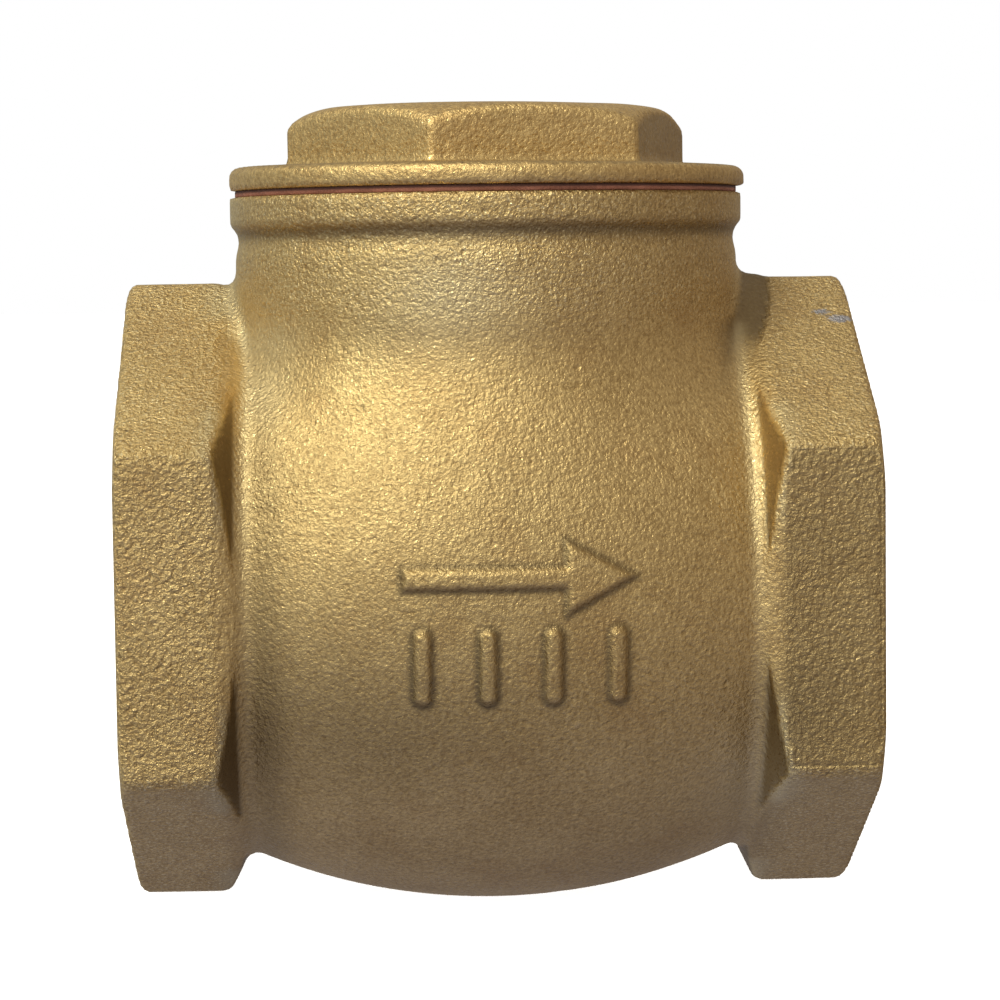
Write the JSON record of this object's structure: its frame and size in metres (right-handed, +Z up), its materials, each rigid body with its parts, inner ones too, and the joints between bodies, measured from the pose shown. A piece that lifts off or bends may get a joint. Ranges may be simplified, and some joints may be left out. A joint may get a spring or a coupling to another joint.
{
  "type": "swing check valve",
  "caption": "Cast brass swing check valve with hexagonal internally screwed ends, bulged barrel, round neck and screwed hexagon cap over a hinged, rubber-faced disc.",
  "frame": {"origin": "centre of the inlet mouth, on the pipe axis, 1 mm inside the end face where the thread's wall starts", "axes": "+X along the pipe axis the way the water flows, +Z up to the cap"},
  "size_m": [0.133, 0.1171, 0.1471],
  "materials": {
    "cast_brass": "sand-cast and shot-blasted, unpainted",
    "turned_brass": "turned",
    "red_fibre": "vulcanised fibre sheet, matt",
    "nitrile": "matt nitrile",
    "stainless": "drawn stainless steel"
  },
  "bodies": {
    "valve": {"valve_body": "cast_brass", "hinge_pin": "stainless", "pin_plug": "turned_brass", "plug_washer": "red_fibre"},
    "swing_arm": {"hinge_arm": "cast_brass"},
    "flap": {"disc": "turned_brass", "disc_facing": "nitrile", "facing_plate": "turned_brass", "facing_screw": "stainless", "disc_washer": "turned_brass", "disc_nut": "turned_brass", "split_pin": "stainless"},
    "gasket": {"bonnet_gasket": "red_fibre"},
    "cap": {"bonnet": "cast_brass"}
  },
  "joints": [
    {"name": "arm_swing", "type": "hinge", "parent": "valve", "child": "swing_arm", "pos_m": [0.03705, 0, 0.04929], "axis": [0, -1, 0], "range_deg": [0, 58]},
    {"name": "disc_spin", "type": "hinge", "parent": "swing_arm", "child": "flap", "pos_m": [0.0295, 0, 0], "axis": [0.9925, 0, 0.1219], "continuous": true},
    {"name": "gasket_lift", "type": "slide", "parent": "valve", "child": "gasket", "axis": [0, 0, 1], "range_m": [0, 0.01001]},
    {"name": "cap_unscrew", "type": "hinge", "parent": "gasket", "child": "cap", "pos_m": [0.0665, 0, 0.0727], "axis": [0, 0, 1], "range_deg": [0, 1800]}
  ],
  "couplings": [
    {"joint": "gasket_lift", "follows": "cap_unscrew", "m_per_rad": 0.00031831}
  ]
}
